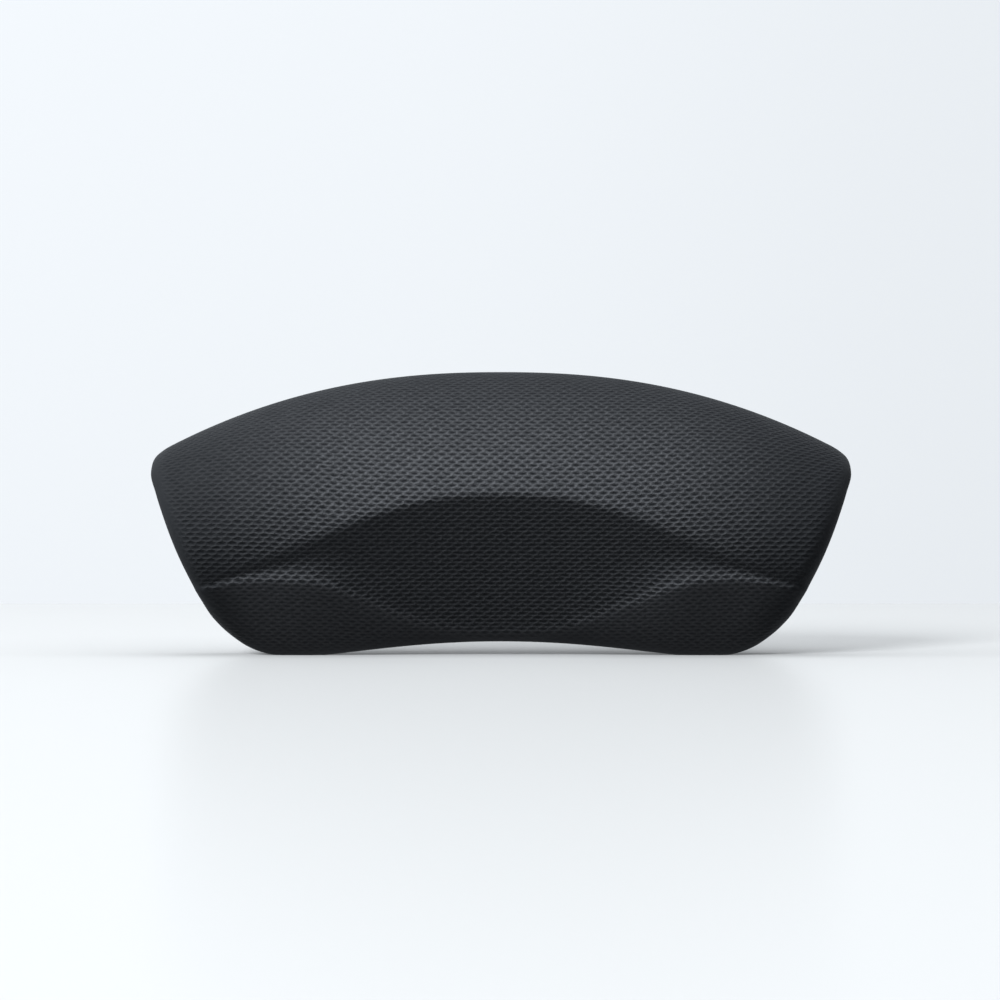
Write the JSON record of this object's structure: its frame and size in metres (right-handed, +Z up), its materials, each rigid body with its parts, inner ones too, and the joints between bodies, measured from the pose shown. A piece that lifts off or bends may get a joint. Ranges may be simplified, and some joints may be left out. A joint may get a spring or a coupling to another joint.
{
  "type": "bath pillow",
  "caption": "Moulded bath pillow with a rolled brow, a scooped neck hollow and two lower lobes, held to a tub by suction cups in keyholes of its back plate.",
  "frame": {"origin": "under the middle of the pillow, on the surface that its two feet stand on, midway between the crest and the cups' rims", "axes": "+X to the right seen from the front, which faces -Y; +Y to the back, where the cups are; +Z up. Left and right in names are as seen from the front"},
  "size_m": [0.3296, 0.0804, 0.1343],
  "materials": {
    "skin": "satin",
    "foam": "matte",
    "tray": "matte",
    "plate": "satin",
    "bush": "satin",
    "screw": "satin",
    "cup": "satin"
  },
  "bodies": {
    "pillow": {"moulded_skin": "skin", "foam_core": "foam", "insert_tray": "tray", "back_plate": "plate", "upper_left_bush": "bush", "upper_right_bush": "bush", "top_middle_bush": "bush", "bottom_middle_bush": "bush", "lower_left_bush": "bush", "lower_right_bush": "bush", "upper_left_screw": "screw", "upper_right_screw": "screw", "top_middle_screw": "screw", "bottom_middle_screw": "screw", "lower_left_screw": "screw", "lower_right_screw": "screw"},
    "upper_left_cup": {"upper_left_cup": "cup"},
    "upper_right_cup": {"upper_right_cup": "cup"},
    "lower_left_cup": {"lower_left_cup": "cup"},
    "lower_right_cup": {"lower_right_cup": "cup"}
  },
  "joints": [
    {"name": "upper_left_cup_slide", "type": "slide", "parent": "pillow", "child": "upper_left_cup", "axis": [0, 0, -1], "range_m": [0, 0.0143]},
    {"name": "upper_right_cup_slide", "type": "slide", "parent": "pillow", "child": "upper_right_cup", "axis": [0, 0, -1], "range_m": [0, 0.0143]},
    {"name": "lower_left_cup_slide", "type": "slide", "parent": "pillow", "child": "lower_left_cup", "axis": [0, 0, -1], "range_m": [0, 0.0143]},
    {"name": "lower_right_cup_slide", "type": "slide", "parent": "pillow", "child": "lower_right_cup", "axis": [0, 0, -1], "range_m": [0, 0.0143]}
  ]
}
